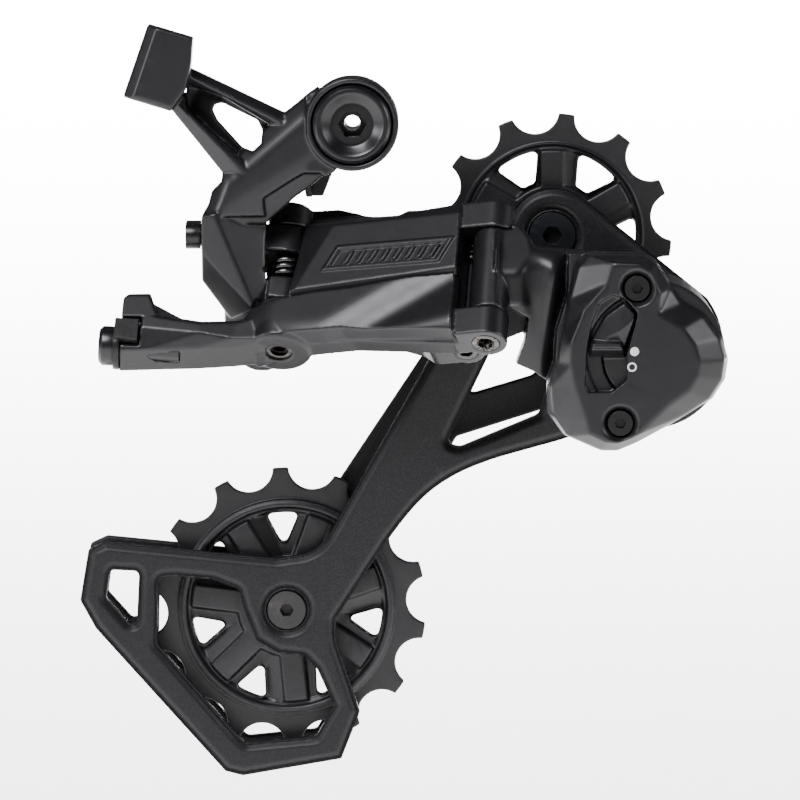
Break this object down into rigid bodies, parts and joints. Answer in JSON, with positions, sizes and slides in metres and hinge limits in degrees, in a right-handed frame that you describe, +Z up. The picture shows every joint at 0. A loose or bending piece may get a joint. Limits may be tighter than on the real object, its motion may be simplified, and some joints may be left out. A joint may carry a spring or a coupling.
{
  "type": "rear bicycle derailleur",
  "caption": "Rear derailleur for a geared bicycle: slanted parallelogram, clutch housing and a sprung two-pulley cage that shifts the chain and keeps it taut.",
  "frame": {"origin": "on the mounting bolt's axis, at the outboard face of the bicycle's hanger", "axes": "+X forward along the bicycle, +Y inboard along the mounting bolt, +Z up"},
  "size_m": [0.1316, 0.0538, 0.155],
  "materials": {
    "mounting_bolt": "black, satin",
    "black_steel": "black oxide, satin",
    "bronze": "plain bearing bronze",
    "b_casting": "satin charcoal paint",
    "outer_casting": "satin charcoal paint",
    "bright_steel": "plated",
    "anchor_bolt": "black oxide, satin",
    "inner_casting": "satin charcoal paint",
    "pin_steel": "ground steel",
    "spring_steel": "spring wire",
    "p_casting": "satin charcoal paint",
    "seal": "matt",
    "clutch_cover": "satin charcoal",
    "clutch_lever": "satin charcoal",
    "outer_plate": "fine speckled dark",
    "inner_plate": "fine speckled dark",
    "upper_bolt": "black oxide, satin",
    "lower_bolt": "black oxide, satin",
    "dust_cap": "matt",
    "pulley": "fine moulded texture"
  },
  "bodies": {
    "hanger_mount": {"mounting_bolt": "mounting_bolt", "mounting_washer": "black_steel"},
    "b_knuckle": {"b_knuckle": "b_casting", "bolt_bushing": "bronze", "b_tension_screw": "black_steel", "high_limit_screw": "black_steel", "low_limit_screw": "black_steel"},
    "outer_link": {"outer_link": "outer_casting", "outer_pin_rear": "pin_steel", "outer_pin_front": "pin_steel", "cable_anchor_bolt": "anchor_bolt", "cable_anchor_washer": "bright_steel", "return_spring_rear": "spring_steel"},
    "inner_link": {"inner_link": "inner_casting", "inner_pin_rear": "pin_steel", "inner_pin_front": "pin_steel", "return_spring_front": "spring_steel"},
    "p_knuckle": {"p_knuckle": "p_casting", "axle_bushing": "bronze", "dust_seal": "seal", "clutch_cover": "clutch_cover", "cover_screws": "black_steel", "clutch_sleeve": "bright_steel", "friction_band": "bright_steel", "band_screw": "bright_steel"},
    "clutch_lever": {"clutch_lever": "clutch_lever"},
    "cage": {"cage_plate_outer": "outer_plate", "cage_plate_inner": "inner_plate", "cage_axle": "pin_steel", "axle_screw": "pin_steel", "cage_spring": "spring_steel", "cage_stop_pin": "pin_steel", "clutch_rollers": "bright_steel", "upper_pulley_bolt": "upper_bolt", "lower_pulley_bolt": "lower_bolt", "upper_bushing": "bronze", "lower_bushing": "bronze", "upper_dust_caps": "dust_cap", "lower_dust_caps": "dust_cap"},
    "upper_pulley": {"upper_pulley": "pulley"},
    "lower_pulley": {"lower_pulley": "pulley"}
  },
  "joints": [
    {"name": "hanger_pivot", "type": "hinge", "parent": "hanger_mount", "child": "b_knuckle", "pos_m": [0, 0, 0], "axis": [0, 1, 0], "range_deg": [0, 35]},
    {"name": "link_swing", "type": "hinge", "parent": "b_knuckle", "child": "outer_link", "pos_m": [-0.0147, -0.017, -0.0456], "axis": [0.0687, 0.6157, 0.785], "range_deg": [0, 62], "stiffness_Nm_per_rad": 0.3, "springref_deg": -57.3},
    {"name": "inner_link_swing", "type": "hinge", "parent": "b_knuckle", "child": "inner_link", "pos_m": [-0.01889, -0.00935, -0.05124], "axis": [0.0687, 0.6157, 0.785], "range_deg": [0, 62]},
    {"name": "p_knuckle_swing", "type": "hinge", "parent": "outer_link", "child": "p_knuckle", "pos_m": [0.02694, -0.02813, -0.04052], "axis": [0.0687, 0.6157, 0.785], "range_deg": [-62, 0]},
    {"name": "clutch_switch", "type": "hinge", "parent": "p_knuckle", "child": "clutch_lever", "pos_m": [0.0598, -0.025, -0.0456], "axis": [0, -1, 0], "range_deg": [0, 30]},
    {"name": "cage_swing", "type": "hinge", "parent": "p_knuckle", "child": "cage", "pos_m": [0.0598, 0, -0.0456], "axis": [0, -1, 0], "range_deg": [0, 90], "stiffness_Nm_per_rad": 0.3, "springref_deg": -114.59},
    {"name": "upper_pulley_spin", "type": "hinge", "parent": "cage", "child": "upper_pulley", "pos_m": [0.0407, 0.013, -0.0237], "axis": [0, 1, 0], "continuous": true},
    {"name": "lower_pulley_spin", "type": "hinge", "parent": "cage", "child": "lower_pulley", "pos_m": [-0.0136, 0.013, -0.1006], "axis": [0, 1, 0], "continuous": true}
  ],
  "couplings": [
    {"joint": "inner_link_swing", "follows": "link_swing", "ratio": 1},
    {"joint": "p_knuckle_swing", "follows": "link_swing", "ratio": -1}
  ]
}
